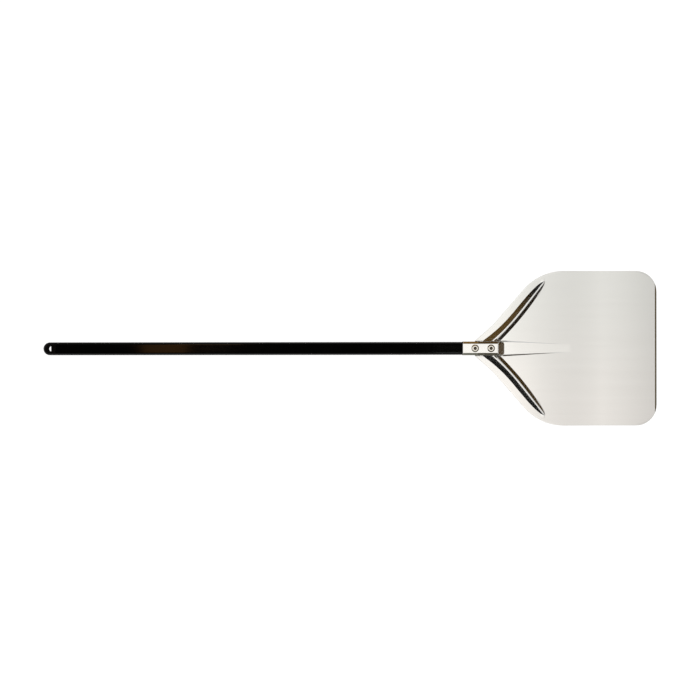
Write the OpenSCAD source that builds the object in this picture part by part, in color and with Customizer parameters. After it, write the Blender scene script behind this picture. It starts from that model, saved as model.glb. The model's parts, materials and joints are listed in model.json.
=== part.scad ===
// Long-handled pizza peel: a pressed sheet blade cradles a metal ferrule that
// closes the front of a rounded-rectangular tube. Two blind rivets go down
// through ferrule, tube and blade. A plug with a hanging hole ends the handle.
// Frame: +X from the handle to the front edge, +Y across, +Z up, with z = 0 at
// the flat underside of the blade and x = 0 at the middle of the length.

/* [Overall] */
// Length from the tip of the end cap to the front edge
overall_l = 1303; // [1000:1:1600]

/* [Blade] */
// Width across the straight sides
blade_w = 330; // [310:2:360]
// Thickness of the sheet
sheet_t = 1.5; // [1.2:0.1:2]
// Radius of the two front corners
corner_r = 45; // [30:1:55]
// Radius where a shoulder runs into a side
shoulder_r = 115; // [80:5:125]
// Width of the bevel along the front edge
bevel_w = 4; // [3:0.5:6]
// Rise of the sheet from the flat pan to the neck
sweep_h = 7.6; // [7.6:0.1:10]

/* [Ribs and tongue] */
// Height of the two diagonal ribs
rib_h = 6; // [5:0.2:7]
// Depth of the tongue and of the trough behind it
tongue_d = 2.8; // [1.5:0.1:2.8]

/* [Handle] */
// Width of the tube
handle_w = 27; // [25:0.5:27]
// Height of the tube
handle_h = 16; // [14:0.5:18]
// Radius of the tube's long edges
handle_r = 5; // [3.5:0.5:5.5]
// Wall of the tube
handle_wall = 1.4; // [1:0.1:2]
// Diameter of the hanging hole, which has a flat towards the tube
hang_d = 12; // [10:0.2:13]

/* [Ferrule and rivets] */
// Wall of the ferrule
ferrule_wall = 0.8; // [0.7:0.1:0.9]
// Diameter of the rivet flanges
flange_d = 16; // [14:0.5:17]
// Diameter of the rivet shanks
rivet_d = 4.8; // [4:0.1:5]

/* [Hidden] */
$fn = 64;

x_front = overall_l / 2;
x_rear = -x_front;
head_l = 417.3;                     // from the ferrule's rear end to the front edge
x_neck = x_front - head_l;          // q = 0, where q is x counted from here
side = blade_w / 2;
clear = 0.1;                        // around the tube and the rivet shanks
q_rivets = [26.9, 60.6];

z_floor = sweep_h - tongue_d;       // underside of the trough
z_fer = z_floor + sheet_t;          // underside of the ferrule
fer_w = handle_w + 2 * clear + 2 * ferrule_wall;
fer_h = handle_h + 2 * clear + 2 * ferrule_wall;
z_tube = z_fer + ferrule_wall + clear;
z_fer_top = z_fer + fer_h;
q_fer = 1.05;                       // rear end of the ferrule
q_nose_top = 75.6;
q_nose_foot = 92;
q_tube_end = 72.6;
cap_l = 26;
x_cap = x_rear + cap_l;             // seam between end cap and tube
nose_r = handle_w / 2;

// ---- shape of the pressed sheet, over q and |y| ----
function clamp01(t) = min(1, max(0, t));
function ss(a, b, x) = let (t = clamp01((x - a) / (b - a))) t * t * (3 - 2 * t);
function mix(a, b, t) = a + (b - a) * t;
function smax(a, b, k) = (a + b + sqrt((a - b) * (a - b) + k * k)) / 2;
// A ramp from 0 to 1 with a rounded foot of width a and a rounded top of width c
function ramp(u, a, c) =
    let (s = 2 / (2 - a - c))
    u <= 0 ? 0 : u >= 1 ? 1 :
    u < a ? s * u * u / (2 * a) :
    u > 1 - c ? 1 - s * (1 - u) * (1 - u) / (2 * c) :
    s * (u - a / 2);

// Outline: neck flange, shoulder line, shoulder arc, straight side, front corner
sh_a = 49;
sh_q0 = 23.4;
q_int = sh_q0 + side / tan(sh_a);
q_sc = q_int + shoulder_r * tan(sh_a / 2);
q_st = q_int - shoulder_r * tan(sh_a / 2) * cos(sh_a);
function shoulder(q) =
    q < q_st ? tan(sh_a) * (q - sh_q0) :
    q < q_sc ? side - shoulder_r + sqrt(shoulder_r * shoulder_r - (q - q_sc) * (q - q_sc)) :
    side;
function corner(q) =
    q < head_l - corner_r ? side :
    side - corner_r + sqrt(max(0, corner_r * corner_r - pow(q - head_l + corner_r, 2)));
tang_hw = 12;
function neck_flange(q) = 18.6 + 0.9 * (min(q, 90) - 31.9);
function half_w(q) =
    min(corner(q), mix(tang_hw, q < 90 ? smax(shoulder(q), neck_flange(q), 1) : shoulder(q), ss(26, 30, q)));

// Rise from the pan to the neck
function sweep(q) = sweep_h * (1 - ss(94, 300, q));

// Rib: a V-shaped bead with a rounded crest along a slanting line, leaf-shaped at its tip.
// t is the distance out along the line, d the distance off it, outwards positive.
rib_a = 50;
rib_q0 = 58.7;
rib_t = side - 23.2;
rib_hw = 10.35;
rib_crest = -0.1;
rib_ci = 0.16;                      // rounding of the crest, on its inner side
rib_co = 0.08;                      // and on its outer side
function rib_at(q, y) = ((q - rib_q0) * cos(rib_a) + y * sin(rib_a)) * sin(rib_a);
function rib_off(q, y) = y * cos(rib_a) - (q - rib_q0) * sin(rib_a);
function rib_mid(t) = -0.35 + 0.00185 * pow(max(0, 68 - t), 2) + 1.35 * ss(68, 125, t);
function rib_w(t) =
    t < 62 ? rib_hw + 0.00085 * (62 - t) * (62 - t)
           : rib_hw * sqrt(max(0, 1 - pow(clamp01((t - 62) / (rib_t - 62)), 2.8)));
function bead(q, y) =
    let (t = rib_at(q, y), w = rib_w(t), u = (rib_off(q, y) - rib_mid(t)) / max(w, 0.01),
         v = u < rib_crest ? (rib_crest - u) / (1 + rib_crest) : (u - rib_crest) / (1 - rib_crest),
         c = u < rib_crest ? rib_ci : rib_co)
    v >= 1 ? 0 : rib_h * min(1, w / rib_hw) * (1 - (norm([v, c]) - c) / (norm([1, c]) - c));
// Distance past the line at the share k of the bead's half width, and y where it is zero
function rib_gap(q, y, k) = let (t = rib_at(q, y)) rib_off(q, y) - rib_mid(t) - k * rib_w(t);
function rib_y(q, k, lo, hi, n = 24) =
    let (m = (lo + hi) / 2)
    n == 0 ? m : rib_gap(q, m, k) < 0 ? rib_y(q, k, m, hi, n - 1) : rib_y(q, k, lo, m, n - 1);
q_tip = rib_q0 + rib_t / tan(rib_a) - 1;
function y_crest(q) = rib_y(min(q, q_tip), rib_crest, -20, side);
function y_outer(q) = max(y_crest(q) + 1.2, rib_y(min(q, q_tip), 1, y_crest(q), side + 30));
function y_inner(q) = min(y_crest(q) - 1.2, rib_y(min(q, q_tip), -1, -40, y_crest(q)));

// Trough under the ferrule, running out as the tongue
function edge_y(q) =
    q < 76 ? 15.1 : q < 92 ? mix(15.1, 17.2, ss(76, 92, q)) : 17.2 - 0.066 * min(q - 92, 150);
function depth(q) = tongue_d * (1 - clamp01((q - 92) / 140));
function floor_y(q) = edge_y(q) - mix(0.5, norm([1.5 * depth(q), 0.5]), ss(76, 92, q));
// The steep wall beside the ferrule lies this much further out on the underside
function wall_t(q) = 1.4 * (1 - ss(78, 92, q));

function sheet_z(q, y, out) =
    let (f = floor_y(q) + out, e = edge_y(q) + out)
    mix(sweep(q) - depth(q), sweep(q) + bead(q, y), ramp((y - f) / (e - f), 0.1, 0.1));
function bevel(q) = (sheet_t - 0.4) * clamp01((q - head_l + bevel_w) / bevel_w);

// Columns across half the sheet: floor, trough wall above and below, pan, inner flank, outer flank, flange
inner_u = [0, 0.35, 0.65, 0.8, 0.9, 0.96];
outer_u = [0, 0.05, 0.12, 0.23, 0.4, 0.7];
n_cols = 25;
function lined(q) =
    let (f = floor_y(q), e = edge_y(q), s = max(wall_t(q), 0.6 * (e - f)), w = half_w(q),
         a = e + s, room = w - a,
         yi = min(max(y_inner(q), a + 0.06 * room), a + 0.7 * room),
         yc = min(max(y_crest(q), yi + 0.04 * room), a + 0.8 * room),
         yo = min(max(y_outer(q), yc + 0.04 * room), a + 0.9 * room))
    concat([0, f / 2, f],
           [mix(f, e, 0.5), e],
           [mix(e, a, 0.64), mix(e, a, 0.82), a],
           [mix(a, yi, 0.35), mix(a, yi, 0.7)],
           [for (u = inner_u) mix(yi, yc, u)],
           [for (u = outer_u) mix(yc, yo, u)],
           [yo, mix(yo, w, 0.5), w]);
function columns(q) =
    let (k = ss(32, 40, q), w = half_w(q), a = lined(q))
    [for (m = [0 : n_cols - 1]) k < 1e-6 ? w * m / (n_cols - 1) : mix(w * m / (n_cols - 1), a[m], k)];

// Stations along the sheet
stations = concat(
    [7, 18, 24, 26, 28, 30, 32, 35, 38, 41, 44, 46.5, 49, 52, 55, 58, 61, 64, 67, 70, 73, 76, 79, 82, 85, 88.5, 92],
    [for (i = [1 : 14]) 92 + (q_tip - 8 - 92) * i / 14],
    [q_tip - 5, q_tip - 3, q_tip - 1.5, q_tip - 0.6, q_tip + 0.2, q_tip + 1, q_tip + 4, q_tip + 10],
    [for (i = [1 : 6]) mix(q_tip + 10, 300, i / 6)],
    [335, head_l - corner_r],
    [for (a = [15, 30, 42, 53]) head_l - corner_r + corner_r * sin(a)],
    [head_l - bevel_w, head_l - bevel_w * 0.4, head_l - bevel_w * 0.1, head_l]);
n_st = len(stations);
n_row = 2 * n_cols - 1;

sheet_rows = [for (q = stations)
    let (c = columns(q))
    [for (m = [-(n_cols - 1) : n_cols - 1])
        let (y = c[abs(m)]) [q, m < 0 ? -y : y]]];
sheet_points = concat(
    [for (row = sheet_rows) for (p = row) [p.x, p.y, sheet_z(p.x, abs(p.y), 0) + sheet_t - bevel(p.x)]],
    [for (row = sheet_rows) for (p = row) [p.x, p.y, sheet_z(p.x, abs(p.y), wall_t(p.x))]]);
n_top = n_st * n_row;
function at(i, m) = i * n_row + m;
sheet_faces = concat(
    [for (i = [0 : n_st - 2]) for (m = [0 : n_row - 2])
        let (a = at(i, m), b = at(i + 1, m), c = at(i + 1, m + 1), d = at(i, m + 1))
        each m < n_cols - 1 ? [[a, c, b], [a, d, c]] : [[a, d, b], [d, c, b]]],
    [for (i = [0 : n_st - 2]) for (m = [0 : n_row - 2])
        let (a = n_top + at(i, m), b = n_top + at(i + 1, m), c = n_top + at(i + 1, m + 1), d = n_top + at(i, m + 1))
        each m < n_cols - 1 ? [[a, b, c], [a, c, d]] : [[a, b, d], [d, b, c]]],
    [for (i = [0 : n_st - 2]) for (m = [0, n_row - 1])
        let (a = at(i, m), b = at(i + 1, m))
        each m == 0 ? [[a, b, b + n_top], [a, b + n_top, a + n_top]]
                    : [[a, b + n_top, b], [a, a + n_top, b + n_top]]],
    [for (m = [0 : n_row - 2]) for (i = [0, n_st - 1])
        let (a = at(i, m), b = at(i, m + 1))
        each i == 0 ? [[a, b + n_top, b], [a, a + n_top, b + n_top]]
                    : [[a, b, b + n_top], [a, b + n_top, a + n_top]]]);

// ---- helpers ----
// Rounded rectangle, standing on the X axis
module rrect(w, h, r) {
    translate([-w / 2 + r, 0]) square([w - 2 * r, h]);
    translate([-w / 2, r]) square([w, h - 2 * r]);
    for (x = [-w / 2 + r, w / 2 - r]) for (y = [r, h - r]) translate([x, y]) circle(r);
}
// A 2D section in y and z, run along +X from x0 for the length l
module along_x(x0, l, z0) translate([x0, 0, z0]) rotate([90, 0, 90]) linear_extrude(l) children();
// A 2D outline in x and z, run across the whole width
module across(wide) rotate([90, 0, 0]) linear_extrude(wide, center = true) children();
module at_rivets() for (q = q_rivets) translate([x_neck + q, 0, 0]) children();
module rivet_holes(z0, z1) at_rivets() translate([0, 0, z0]) cylinder(d = rivet_d + 2 * clear, h = z1 - z0);

// ---- sub-parts ----
module blade() color("#d8d8d4")
    difference() {
        translate([x_neck, 0, 0]) polyhedron(sheet_points, sheet_faces, convexity = 6);
        rivet_holes(z_floor - 2, z_floor + sheet_t + 2);
    }

nose_k = (q_nose_foot - q_nose_top) / fer_h;
nose_in = ferrule_wall * sqrt(1 + nose_k * nose_k);
module neck_ferrule() color("#dcdcd8")
    difference() {
        intersection() {
            along_x(x_neck + q_fer, q_nose_foot - q_fer, z_fer) rrect(fer_w, fer_h, handle_r + ferrule_wall);
            across(fer_w + 10) translate([x_neck, z_fer])
                polygon([[-1, -1], [q_nose_foot + nose_k, -1], [q_nose_top - nose_k, fer_h + 1], [-1, fer_h + 1]]);
        }
        intersection() {
            along_x(x_neck - 1, q_nose_foot + 1, z_fer + ferrule_wall)
                rrect(handle_w + 2 * clear, handle_h + 2 * clear, handle_r + clear);
            across(fer_w + 10) translate([x_neck, z_fer])
                polygon([[-2, -1], [q_nose_foot + nose_k - nose_in, -1],
                         [q_nose_top - nose_k - nose_in, fer_h + 1], [-2, fer_h + 1]]);
        }
        rivet_holes(z_fer - 1, z_fer_top + 1);
    }

module handle_tube() color("#101010")
    difference() {
        along_x(x_cap, x_neck + q_tube_end - x_cap, z_tube) rrect(handle_w, handle_h, handle_r);
        along_x(x_cap - 1, x_neck + q_tube_end - x_cap + 2, z_tube + handle_wall)
            rrect(handle_w - 2 * handle_wall, handle_h - 2 * handle_wall, handle_r - handle_wall);
        rivet_holes(z_tube - 1, z_tube + handle_h + 1);
    }

hang_in = 14.8;                     // from the tip to the hole's centre
hang_flat = 2.6;                    // from the hole's centre to its flat
spigot_l = 30;
spigot_gap = 0.15;
module end_cap() color("#161616")
    difference() {
        union() {
            along_x(x_rear + nose_r, cap_l - nose_r, z_tube) rrect(handle_w, handle_h, handle_r);
            translate([x_rear + nose_r, 0, z_tube]) rotate([0, 0, 90]) rotate_extrude(angle = 180) {
                square([nose_r - handle_r, handle_h]);
                translate([0, handle_r]) square([nose_r, handle_h - 2 * handle_r]);
                for (y = [handle_r, handle_h - handle_r]) translate([nose_r - handle_r, y]) circle(handle_r);
            }
            along_x(x_cap - 0.5, spigot_l + 0.5, z_tube + handle_wall + spigot_gap)
                rrect(handle_w - 2 * handle_wall - 2 * spigot_gap,
                      handle_h - 2 * handle_wall - 2 * spigot_gap, handle_r - handle_wall);
        }
        translate([x_rear + hang_in, 0, z_tube - 1]) linear_extrude(handle_h + 2) intersection() {
            circle(d = hang_d);
            translate([-hang_d, -hang_d]) square([hang_d + hang_flat, 2 * hang_d]);
        }
    }

// Blind rivet: coned flange with a cup around the mandrel, shank, upset tail
flange_h = 2.4;
cup_d = 6.8;
cup_h = 1.2;
mandrel_d = 2.8;
washer_t = 0.8;
tail_h = 2.4;
tail_d = 7.6;
module rivet_bodies() color("#c9c4ba") at_rivets()
    difference() {
        union() {
            translate([0, 0, z_fer_top]) rotate_extrude()
                polygon([[0, 0], [flange_d / 2, 0], [flange_d / 2, 0.5], [flange_d / 2 - 2.5, flange_h], [0, flange_h]]);
            translate([0, 0, z_floor - washer_t - 0.1]) cylinder(d = rivet_d, h = z_fer_top - z_floor + washer_t + 0.2);
            translate([0, 0, z_floor - washer_t - tail_h]) rotate_extrude()
                polygon([[0, 0], [tail_d / 2 - 0.9, 0], [tail_d / 2, 0.9], [tail_d / 2, tail_h - 0.5],
                         [tail_d / 2 - 0.5, tail_h], [0, tail_h]]);
        }
        translate([0, 0, z_fer_top + flange_h - cup_h]) cylinder(d1 = mandrel_d + 0.4, d2 = cup_d, h = cup_h + 0.01);
        translate([0, 0, z_floor - washer_t - tail_h - 1]) cylinder(d = mandrel_d + 0.04, h = 60);
    }

module rivet_mandrels() color("#8d8a86") at_rivets() {
    translate([0, 0, z_floor - washer_t - tail_h - 0.6])
        cylinder(d = mandrel_d, h = z_fer_top + flange_h - 0.5 - z_floor + washer_t + tail_h + 0.6);
    translate([0, 0, z_floor - washer_t - tail_h - 1.1]) cylinder(d1 = 3, d2 = 4.6, h = 1.1);
}

module rivet_spacers() color("#a9a9a6") at_rivets()
    translate([0, 0, z_tube + handle_wall]) difference() {
        cylinder(d = rivet_d + 4, h = handle_h - 2 * handle_wall);
        translate([0, 0, -1]) cylinder(d = rivet_d + 0.4, h = handle_h);
    }

module rivet_washers() color("#b9b7b2") at_rivets()
    translate([0, 0, z_floor - washer_t]) difference() {
        cylinder(d = 14, h = washer_t);
        translate([0, 0, -1]) cylinder(d = rivet_d + 2 * clear, h = washer_t + 2);
    }

blade();
neck_ferrule();
handle_tube();
end_cap();
rivet_bodies();
rivet_mandrels();
rivet_spacers();
rivet_washers();
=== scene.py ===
import json
import math

import bmesh
import bpy
import numpy as np
from mathutils import Matrix, Vector

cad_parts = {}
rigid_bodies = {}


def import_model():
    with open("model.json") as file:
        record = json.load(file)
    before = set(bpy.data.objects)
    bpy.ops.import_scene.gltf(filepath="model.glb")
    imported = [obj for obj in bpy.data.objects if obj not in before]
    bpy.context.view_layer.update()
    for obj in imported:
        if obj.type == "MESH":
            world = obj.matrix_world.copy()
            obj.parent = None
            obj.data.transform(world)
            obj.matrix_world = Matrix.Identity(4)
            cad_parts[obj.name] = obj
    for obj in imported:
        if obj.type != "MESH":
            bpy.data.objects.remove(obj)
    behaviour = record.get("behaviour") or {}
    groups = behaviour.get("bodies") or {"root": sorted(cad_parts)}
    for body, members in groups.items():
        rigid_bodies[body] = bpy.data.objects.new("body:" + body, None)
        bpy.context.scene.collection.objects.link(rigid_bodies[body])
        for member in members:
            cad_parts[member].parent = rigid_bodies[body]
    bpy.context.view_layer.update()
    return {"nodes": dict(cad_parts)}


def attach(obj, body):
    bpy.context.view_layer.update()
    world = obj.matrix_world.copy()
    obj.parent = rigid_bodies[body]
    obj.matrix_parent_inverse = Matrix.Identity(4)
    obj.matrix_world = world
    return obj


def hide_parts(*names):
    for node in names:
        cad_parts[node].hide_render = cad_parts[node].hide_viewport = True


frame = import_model()

# ---------------------------------------------------------------------------
# Sizes, in millimetres, in the frame of the CAD part
# ---------------------------------------------------------------------------
X_FRONT, X_REAR = 651.5, -651.5
HEAD_L = 417.3
X_NECK = X_FRONT - HEAD_L
SIDE = 165.0
SHEET_T = 1.5
CORNER_R, SHOULDER_R = 45.0, 115.0
BEVEL_W = 4.0
SWEEP_H, RIB_H, TONGUE_D = 7.6, 6.0, 2.8
HANDLE_W, HANDLE_H, HANDLE_R, HANDLE_WALL = 27.0, 16.0, 5.0, 1.4
FER_WALL, CLEAR = 0.8, 0.1
Z_FLOOR = SWEEP_H - TONGUE_D
Z_FER = Z_FLOOR + SHEET_T
FER_W = HANDLE_W + 2 * CLEAR + 2 * FER_WALL
FER_H = HANDLE_H + 2 * CLEAR + 2 * FER_WALL
Z_TUBE = Z_FER + FER_WALL + CLEAR
Z_FER_TOP = Z_FER + FER_H
Q_FER, Q_NOSE_TOP, Q_NOSE_FOOT, Q_TUBE_END = 1.05, 75.6, 92.0, 72.6
X_CAP = X_REAR + 26.0
NOSE_R = HANDLE_W / 2
HOLE_X, HOLE_R, HOLE_FLAT = X_REAR + 14.8, 6.0, 2.6
RIVET_X = (X_NECK + 26.9, X_NECK + 60.6)
FLANGE_R, FLANGE_H, RIVET_R = 8.0, 2.4, 2.4


# ---------------------------------------------------------------------------
# Mesh helpers
# ---------------------------------------------------------------------------
def make_object(name, verts, faces, angle=40.0):
    """A smooth-shaded mesh object from millimetre points, creased where faces meet sharply."""
    mesh = bpy.data.meshes.new(name)
    mesh.from_pydata([tuple(0.001 * c for c in v) for v in verts], [], [tuple(f) for f in faces])
    mesh.update()
    bm = bmesh.new()
    bm.from_mesh(mesh)
    bmesh.ops.remove_doubles(bm, verts=bm.verts, dist=1e-7)
    bmesh.ops.recalc_face_normals(bm, faces=bm.faces)
    bm.to_mesh(mesh)
    bm.free()
    mesh.shade_smooth()
    mesh.set_sharp_from_angle(angle=math.radians(angle))
    obj = bpy.data.objects.new(name, mesh)
    bpy.context.scene.collection.objects.link(obj)
    return obj


def loft(rings, closed=False, cap_start=False, cap_end=False):
    """Faces between successive rings of equal count. closed joins the last ring to the first."""
    n = len(rings[0])
    verts = [tuple(p) for ring in rings for p in ring]
    faces = []
    last = len(rings) if closed else len(rings) - 1
    for i in range(last):
        a, b = i * n, ((i + 1) % len(rings)) * n
        for j in range(n):
            k = (j + 1) % n
            faces.append((a + j, a + k, b + k, b + j))
    if cap_start:
        faces.append(tuple(range(n - 1, -1, -1)))
    if cap_end:
        base = (len(rings) - 1) * n
        faces.append(tuple(range(base, base + n)))
    return verts, faces


def rounded_rect(half_w, half_h, r, seg=12, inner=3, support=0.3):
    """Points of a rounded rectangle, with extra points in the flats next to each corner."""
    out = []
    centres = [(half_w - r, half_h - r, 0), (-half_w + r, half_h - r, 90),
               (-half_w + r, -half_h + r, 180), (half_w - r, -half_h + r, 270)]
    for i, (cy, cz, a0) in enumerate(centres):
        arc = [(cy + r * math.cos(math.radians(a0 + 90 * k / seg)),
                cz + r * math.sin(math.radians(a0 + 90 * k / seg))) for k in range(seg + 1)]
        out += arc
        ny, nz, na = centres[(i + 1) % 4]
        end = (ny + r * math.cos(math.radians(na)), nz + r * math.sin(math.radians(na)))
        start = arc[-1]
        length = math.hypot(end[0] - start[0], end[1] - start[1])
        s = min(support / length, 0.2)
        for t in [s] + [s + (1 - 2 * s) * k / (inner + 1) for k in range(1, inner + 1)] + [1 - s]:
            out.append((start[0] + (end[0] - start[0]) * t, start[1] + (end[1] - start[1]) * t))
    return out


def revolve(profile, seg=72, closed=True, cap_ends=False):
    """A profile of (radius, height) points turned about Z. Rings run along the profile."""
    rings = []
    for r, z in profile:
        rings.append([(r * math.cos(2 * math.pi * k / seg), r * math.sin(2 * math.pi * k / seg), z)
                      for k in range(seg)])
    return loft(rings, closed=closed, cap_start=cap_ends, cap_end=cap_ends)


def arc(cr, cz, r, a0, a1, n):
    return [(cr + r * math.cos(math.radians(a0 + (a1 - a0) * k / n)),
             cz + r * math.sin(math.radians(a0 + (a1 - a0) * k / n))) for k in range(n + 1)]


def take(obj, node):
    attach(obj, "root")
    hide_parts(node)
    return obj


def boolean(obj, cutter, operation):
    """Cuts or joins obj with cutter, writes the result into obj and removes the cutter."""
    mod = obj.modifiers.new("cut", "BOOLEAN")
    mod.operation = operation
    mod.solver = "EXACT"
    mod.object = cutter
    bpy.context.view_layer.update()
    dg = bpy.context.evaluated_depsgraph_get()
    mesh = bpy.data.meshes.new_from_object(obj.evaluated_get(dg))
    obj.modifiers.clear()
    old = obj.data
    obj.data = mesh
    mesh.name = obj.name
    bpy.data.meshes.remove(old)
    bpy.data.objects.remove(cutter)
    return obj


# ---------------------------------------------------------------------------
# The pressed blade: a height field over q (from the neck) and y
# ---------------------------------------------------------------------------
def clamp01(t):
    return np.clip(t, 0.0, 1.0)


def ss(a, b, x):
    t = clamp01((x - a) / (b - a))
    return t * t * (3 - 2 * t)


def mix(a, b, t):
    return a + (b - a) * t


def smax(a, b, k):
    return (a + b + np.sqrt((a - b) ** 2 + k * k)) / 2


def ramp(u, a, c):
    s = 2 / (2 - a - c)
    mid = s * (u - a / 2)
    low = s * u * u / (2 * a)
    top = 1 - s * (1 - u) ** 2 / (2 * c)
    return np.where(u <= 0, 0.0, np.where(u >= 1, 1.0, np.where(u < a, low, np.where(u > 1 - c, top, mid))))


SH_A, SH_Q0 = math.radians(49), 23.4
Q_INT = SH_Q0 + SIDE / math.tan(SH_A)
Q_SC = Q_INT + SHOULDER_R * math.tan(SH_A / 2)
Q_ST = Q_INT - SHOULDER_R * math.tan(SH_A / 2) * math.cos(SH_A)
TANG_HW = 12.0
RIB_A, RIB_Q0 = math.radians(50), 58.7
RIB_SIN, RIB_COS = math.sin(RIB_A), math.cos(RIB_A)
RIB_T, RIB_HW, RIB_CREST, RIB_CI, RIB_CO = SIDE - 23.2, 10.35, -0.1, 0.16, 0.08
Q_TIP = RIB_Q0 + RIB_T / math.tan(RIB_A) - 1


def shoulder(q):
    arc_y = SIDE - SHOULDER_R + np.sqrt(np.maximum(0, SHOULDER_R ** 2 - (q - Q_SC) ** 2))
    return np.where(q < Q_ST, math.tan(SH_A) * (q - SH_Q0), np.where(q < Q_SC, arc_y, SIDE))


def corner(q):
    d = np.maximum(0, q - HEAD_L + CORNER_R)
    return SIDE - CORNER_R + np.sqrt(np.maximum(0, CORNER_R ** 2 - d ** 2))


def neck_flange(q):
    return 18.6 + 0.9 * (np.minimum(q, 90) - 31.9)


def half_w(q):
    wing = np.where(q < 90, smax(shoulder(q), neck_flange(q), 1), shoulder(q))
    return np.minimum(corner(q), mix(TANG_HW, wing, ss(26, 30, q)))


def sweep(q):
    return SWEEP_H * (1 - ss(94, 300, q))


# Rib: a V-shaped bead with a rounded crest; t runs out along its line, the offset is across it
def rib_at(q, y):
    return ((q - RIB_Q0) * RIB_COS + y * RIB_SIN) * RIB_SIN


def rib_off(q, y):
    return y * RIB_COS - (q - RIB_Q0) * RIB_SIN


def rib_mid(t):
    return -0.35 + 0.00185 * np.maximum(0, 68 - t) ** 2 + 1.35 * ss(68, 125, t)


def rib_w(t):
    far = RIB_HW * np.sqrt(np.maximum(0, 1 - clamp01((t - 62) / (RIB_T - 62)) ** 2.8))
    return np.where(t < 62, RIB_HW + 0.00085 * (62 - t) ** 2, far)


def bead(q, y):
    t = rib_at(q, y)
    w = rib_w(t)
    u = (rib_off(q, y) - rib_mid(t)) / np.maximum(w, 0.01)
    v = np.where(u < RIB_CREST, (RIB_CREST - u) / (1 + RIB_CREST), (u - RIB_CREST) / (1 - RIB_CREST))
    v = np.clip(v, 0.0, 1.0)
    c = np.where(u < RIB_CREST, RIB_CI, RIB_CO)
    fall = (np.hypot(v, c) - c) / (np.hypot(1, c) - c)
    return RIB_H * np.minimum(1, w / RIB_HW) * (1 - fall)


def rib_y(q, k, lo, hi):
    """Where the line at the share k of the bead's half width crosses the station q."""
    for _ in range(40):
        m = (lo + hi) / 2
        t = rib_at(q, m)
        if float(rib_off(q, m) - rib_mid(t) - k * rib_w(t)) < 0:
            lo = m
        else:
            hi = m
    return (lo + hi) / 2


def edge_y(q):
    return np.where(q < 76, 15.1, np.where(q < 92, mix(15.1, 17.2, ss(76, 92, q)),
                                           17.2 - 0.066 * np.minimum(q - 92, 150)))


def depth(q):
    return TONGUE_D * (1 - clamp01((q - 92) / 140))


def floor_y(q):
    return edge_y(q) - mix(0.5, np.hypot(1.5 * depth(q), 0.5), ss(76, 92, q))


def wall_t(q):
    return 1.4 * (1 - ss(78, 92, q))


def sheet_z(q, y, out):
    f, e = floor_y(q) + out, edge_y(q) + out
    return mix(sweep(q) - depth(q), sweep(q) + bead(q, y), ramp((y - f) / (e - f), 0.1, 0.1))


def under_z(q, y):
    return sheet_z(q, y, wall_t(q))


def top_z(q, y):
    return sheet_z(q, y, 0.0) + SHEET_T - bevel(q)


def bevel(q):
    return (SHEET_T - 0.4) * clamp01((q - HEAD_L + BEVEL_W) / BEVEL_W)


FOOT = (0, 0.03, 0.08, 0.2, 0.35, 0.5, 0.62, 0.72, 0.8, 0.86, 0.91, 0.945, 0.97, 0.99)


def blade_columns(q):
    """Column positions across half the sheet at one station."""
    f, e, w = float(floor_y(q)), float(edge_y(q)), float(half_w(q))
    s = max(float(wall_t(q)), 0.6 * (e - f))
    a = e + s
    room = w - a
    qr = min(q, Q_TIP)
    yc = rib_y(qr, RIB_CREST, -20.0, SIDE)
    yi = min(yc - 1.2, rib_y(qr, -1.0, -40.0, yc))
    yo = max(yc + 1.2, rib_y(qr, 1.0, yc, SIDE + 30))
    yi = min(max(yi, a + 0.06 * room), a + 0.7 * room)
    yc = min(max(yc, yi + 0.04 * room), a + 0.8 * room)
    yo = min(max(yo, yc + 0.04 * room), a + 0.9 * room)
    cols = [mix(0, f, t) for t in (0, 0.3, 0.6, 0.9)]
    cols += [mix(f, e, t) for t in (0, 0.06, 0.12, 0.5, 0.88, 0.94)]
    cols += [mix(e, a, t) for t in (0, 0.3, 0.643, 0.7, 0.75, 0.82, 0.89, 0.95)]
    cols += [mix(a, yi, t) for t in (0, 0.15, 0.3, 0.5, 0.7, 0.85)] + [max(mix(a, yi, 0.9), yi - 0.35)]
    cols += [mix(yi, yc, t) for t in FOOT]
    cols += [mix(yo, yc, t) for t in (1.0,) + FOOT[:0:-1]]
    cols += [yo, min(mix(yo, w, 0.1), yo + 0.35)] + [mix(yo, w, t) for t in (0.3, 0.5, 0.75)] + [w]
    cols = np.array(cols)
    even = w * np.arange(len(cols)) / (len(cols) - 1)
    if q < 32:
        cols = even
    else:
        cols = mix(even, cols, float(ss(32, 38, q)))
    for k in range(1, 7):
        cols[-1 - k] = min(cols[-1 - k], w - 0.45 - 0.05 * (k - 1))
    return np.maximum.accumulate(cols)


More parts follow.
